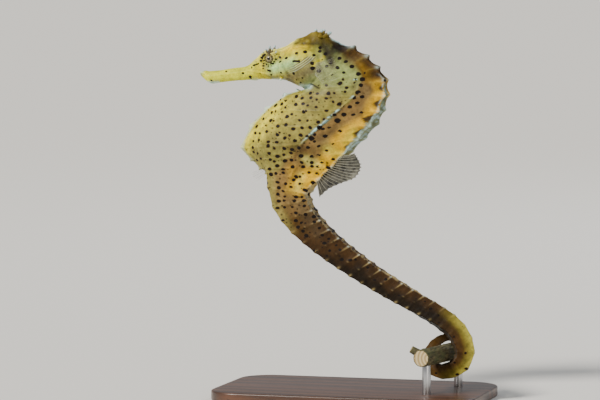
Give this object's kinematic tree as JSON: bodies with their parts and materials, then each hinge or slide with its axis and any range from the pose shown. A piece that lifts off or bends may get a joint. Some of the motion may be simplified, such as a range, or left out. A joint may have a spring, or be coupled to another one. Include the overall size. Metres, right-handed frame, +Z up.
{
  "type": "longsnout seahorse display model",
  "caption": "Life-size still model of a spotted longsnout seahorse, gripping a short cut twig with its tail, carried on short rods above a flat wooden base.",
  "frame": {"origin": "centre of the flat base's underside", "axes": "+Z up, from the base to the coronet; -X the way the snout points, along the base; -Y the animal's left flank"},
  "size_m": [0.0857, 0.046, 0.1066],
  "materials": {
    "skin": "painted, satin: olive yellow with golden back, dark brown spots and pale ring edges",
    "tail_skin": "painted, satin: brown with pale knobs on the ring edges",
    "fin": "thin, clear, with pale rays",
    "eye": "glossy, brown rays on dull gold round a small dark pupil",
    "bark": "dark green-brown bark, pale cut ends",
    "dark_wood": "dark stained, satin varnish",
    "steel": "fine brushed"
  },
  "bodies": {
    "root": {"snout": "skin", "head": "skin", "neck": "skin", "trunk_upper": "skin", "trunk_lower": "skin", "tail_base": "tail_skin", "tail_middle": "tail_skin", "tail_lower": "tail_skin", "tail_curl": "tail_skin", "tail_coil": "tail_skin", "tail_tip": "tail_skin", "coronet": "skin", "eye_left": "eye", "eye_right": "eye", "pectoral_fin_left": "fin", "pectoral_fin_right": "fin", "dorsal_fin": "fin", "anal_fin": "fin", "perch_twig": "bark", "stand_base": "dark_wood", "stand_rod_front": "steel", "stand_rod_back": "steel"}
  },
  "joints": []
}
